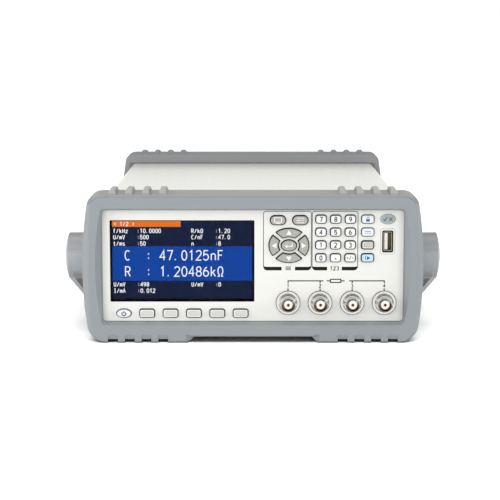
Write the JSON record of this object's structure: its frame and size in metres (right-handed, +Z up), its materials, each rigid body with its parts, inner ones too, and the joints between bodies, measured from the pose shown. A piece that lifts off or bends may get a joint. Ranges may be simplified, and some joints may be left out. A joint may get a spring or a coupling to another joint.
{
  "type": "component tester",
  "caption": "Bench component tester: box case between rubber bumpers, swing-down carrying handle, colour screen, keypad and a row of bayonet test sockets.",
  "frame": {"origin": "centre of the footprint, on the surface the feet stand on", "axes": "+X to the right seen from the front, +Y from the front panel to the rear panel, +Z up"},
  "size_m": [0.2676, 0.3644, 0.1051],
  "materials": {
    "bumper_rubber": "soft matte grey",
    "case_paint": "fine textured off-white paint",
    "zinc_steel": "plated sheet",
    "panel_plastic": "fine grained ivory",
    "clear_window": "clear polished",
    "display_black": "dark screen",
    "circuit_board": "green solder mask",
    "black_plastic": "black moulded",
    "lamp_lens": "smoked translucent",
    "nickel": "bright nickel plate",
    "white_insulator": "white insulator",
    "gold_contact": "gold plate",
    "handle_plastic": "matte grey",
    "key_white": "silicone white",
    "key_soft": "silicone light grey",
    "key_grey": "silicone grey",
    "key_blue": "silicone light blue"
  },
  "bodies": {
    "case": {"front_bumper": "bumper_rubber", "rear_bumper": "bumper_rubber", "case_sleeve": "case_paint", "chassis_tray": "zinc_steel", "front_panel": "panel_plastic", "rear_panel": "case_paint", "display_window": "clear_window", "display_module": "display_black", "keypad_board": "circuit_board", "key_switches": "black_plastic", "status_lamp": "lamp_lens", "usb_shell": "nickel", "usb_insulator": "white_insulator", "bnc_shells": "nickel", "bnc_insulators": "white_insulator", "bnc_contacts": "gold_contact", "bnc_nuts": "nickel", "pivot_bosses": "handle_plastic", "main_board": "circuit_board", "shield_can": "zinc_steel", "power_supply": "zinc_steel", "ac_inlet": "black_plastic", "inlet_pins": "nickel", "handler_port": "nickel", "serial_port": "nickel", "ground_post": "gold_contact", "rear_screws": "nickel"},
    "handle": {"handle_left_arm": "handle_plastic", "handle_right_arm": "handle_plastic", "handle_grip": "handle_plastic"},
    "drawer": {"fuse_drawer": "black_plastic"},
    "power_key_body": {"power_key": "key_white"},
    "soft_key_1_body": {"soft_key_1": "key_soft"},
    "soft_key_2_body": {"soft_key_2": "key_soft"},
    "soft_key_3_body": {"soft_key_3": "key_soft"},
    "soft_key_4_body": {"soft_key_4": "key_soft"},
    "soft_key_5_body": {"soft_key_5": "key_soft"},
    "display_key_body": {"display_key": "key_grey"},
    "setup_key_body": {"setup_key": "key_grey"},
    "arrow_up_body": {"arrow_up": "key_grey"},
    "arrow_right_body": {"arrow_right": "key_grey"},
    "arrow_down_body": {"arrow_down": "key_grey"},
    "arrow_left_body": {"arrow_left": "key_grey"},
    "enter_key_body": {"enter_key": "key_grey"},
    "key_7_body": {"key_7": "key_white"},
    "key_8_body": {"key_8": "key_white"},
    "key_9_body": {"key_9": "key_white"},
    "key_4_body": {"key_4": "key_white"},
    "key_5_body": {"key_5": "key_white"},
    "key_6_body": {"key_6": "key_white"},
    "key_1_body": {"key_1": "key_white"},
    "key_2_body": {"key_2": "key_white"},
    "key_3_body": {"key_3": "key_white"},
    "key_0_body": {"key_0": "key_white"},
    "key_point_body": {"key_point": "key_white"},
    "key_sign_body": {"key_sign": "key_white"},
    "lock_key_body": {"lock_key": "key_white"},
    "bias_key_body": {"bias_key": "key_white"},
    "keyboard_key_body": {"keyboard_key": "key_grey"},
    "trigger_key_body": {"trigger_key": "key_blue"}
  },
  "joints": [
    {"name": "handle_swing", "type": "hinge", "parent": "case", "child": "handle", "pos_m": [0, -0.12175, 0.0525], "axis": [-1, 0, 0], "range_deg": [0, 312]},
    {"name": "fuse_slide", "type": "slide", "parent": "case", "child": "drawer", "axis": [0, 1, 0], "range_m": [0, 0.014]},
    {"name": "power_key_press", "type": "slide", "parent": "case", "child": "power_key_body", "axis": [0, 1, 0], "range_m": [0, 0.0012], "stiffness_N_per_m": 600},
    {"name": "soft_key_1_press", "type": "slide", "parent": "case", "child": "soft_key_1_body", "axis": [0, 1, 0], "range_m": [0, 0.0012], "stiffness_N_per_m": 600},
    {"name": "soft_key_2_press", "type": "slide", "parent": "case", "child": "soft_key_2_body", "axis": [0, 1, 0], "range_m": [0, 0.0012], "stiffness_N_per_m": 600},
    {"name": "soft_key_3_press", "type": "slide", "parent": "case", "child": "soft_key_3_body", "axis": [0, 1, 0], "range_m": [0, 0.0012], "stiffness_N_per_m": 600},
    {"name": "soft_key_4_press", "type": "slide", "parent": "case", "child": "soft_key_4_body", "axis": [0, 1, 0], "range_m": [0, 0.0012], "stiffness_N_per_m": 600},
    {"name": "soft_key_5_press", "type": "slide", "parent": "case", "child": "soft_key_5_body", "axis": [0, 1, 0], "range_m": [0, 0.0012], "stiffness_N_per_m": 600},
    {"name": "display_key_press", "type": "slide", "parent": "case", "child": "display_key_body", "axis": [0, 1, 0], "range_m": [0, 0.0012], "stiffness_N_per_m": 600},
    {"name": "setup_key_press", "type": "slide", "parent": "case", "child": "setup_key_body", "axis": [0, 1, 0], "range_m": [0, 0.0012], "stiffness_N_per_m": 600},
    {"name": "arrow_up_press", "type": "slide", "parent": "case", "child": "arrow_up_body", "axis": [0, 1, 0], "range_m": [0, 0.0012], "stiffness_N_per_m": 600},
    {"name": "arrow_right_press", "type": "slide", "parent": "case", "child": "arrow_right_body", "axis": [0, 1, 0], "range_m": [0, 0.0012], "stiffness_N_per_m": 600},
    {"name": "arrow_down_press", "type": "slide", "parent": "case", "child": "arrow_down_body", "axis": [0, 1, 0], "range_m": [0, 0.0012], "stiffness_N_per_m": 600},
    {"name": "arrow_left_press", "type": "slide", "parent": "case", "child": "arrow_left_body", "axis": [0, 1, 0], "range_m": [0, 0.0012], "stiffness_N_per_m": 600},
    {"name": "enter_key_press", "type": "slide", "parent": "case", "child": "enter_key_body", "axis": [0, 1, 0], "range_m": [0, 0.0012], "stiffness_N_per_m": 600},
    {"name": "key_7_press", "type": "slide", "parent": "case", "child": "key_7_body", "axis": [0, 1, 0], "range_m": [0, 0.0012], "stiffness_N_per_m": 600},
    {"name": "key_8_press", "type": "slide", "parent": "case", "child": "key_8_body", "axis": [0, 1, 0], "range_m": [0, 0.0012], "stiffness_N_per_m": 600},
    {"name": "key_9_press", "type": "slide", "parent": "case", "child": "key_9_body", "axis": [0, 1, 0], "range_m": [0, 0.0012], "stiffness_N_per_m": 600},
    {"name": "key_4_press", "type": "slide", "parent": "case", "child": "key_4_body", "axis": [0, 1, 0], "range_m": [0, 0.0012], "stiffness_N_per_m": 600},
    {"name": "key_5_press", "type": "slide", "parent": "case", "child": "key_5_body", "axis": [0, 1, 0], "range_m": [0, 0.0012], "stiffness_N_per_m": 600},
    {"name": "key_6_press", "type": "slide", "parent": "case", "child": "key_6_body", "axis": [0, 1, 0], "range_m": [0, 0.0012], "stiffness_N_per_m": 600},
    {"name": "key_1_press", "type": "slide", "parent": "case", "child": "key_1_body", "axis": [0, 1, 0], "range_m": [0, 0.0012], "stiffness_N_per_m": 600},
    {"name": "key_2_press", "type": "slide", "parent": "case", "child": "key_2_body", "axis": [0, 1, 0], "range_m": [0, 0.0012], "stiffness_N_per_m": 600},
    {"name": "key_3_press", "type": "slide", "parent": "case", "child": "key_3_body", "axis": [0, 1, 0], "range_m": [0, 0.0012], "stiffness_N_per_m": 600},
    {"name": "key_0_press", "type": "slide", "parent": "case", "child": "key_0_body", "axis": [0, 1, 0], "range_m": [0, 0.0012], "stiffness_N_per_m": 600},
    {"name": "key_point_press", "type": "slide", "parent": "case", "child": "key_point_body", "axis": [0, 1, 0], "range_m": [0, 0.0012], "stiffness_N_per_m": 600},
    {"name": "key_sign_press", "type": "slide", "parent": "case", "child": "key_sign_body", "axis": [0, 1, 0], "range_m": [0, 0.0012], "stiffness_N_per_m": 600},
    {"name": "lock_key_press", "type": "slide", "parent": "case", "child": "lock_key_body", "axis": [0, 1, 0], "range_m": [0, 0.0012], "stiffness_N_per_m": 600},
    {"name": "bias_key_press", "type": "slide", "parent": "case", "child": "bias_key_body", "axis": [0, 1, 0], "range_m": [0, 0.0012], "stiffness_N_per_m": 600},
    {"name": "keyboard_key_press", "type": "slide", "parent": "case", "child": "keyboard_key_body", "axis": [0, 1, 0], "range_m": [0, 0.0012], "stiffness_N_per_m": 600},
    {"name": "trigger_key_press", "type": "slide", "parent": "case", "child": "trigger_key_body", "axis": [0, 1, 0], "range_m": [0, 0.0012], "stiffness_N_per_m": 600}
  ]
}
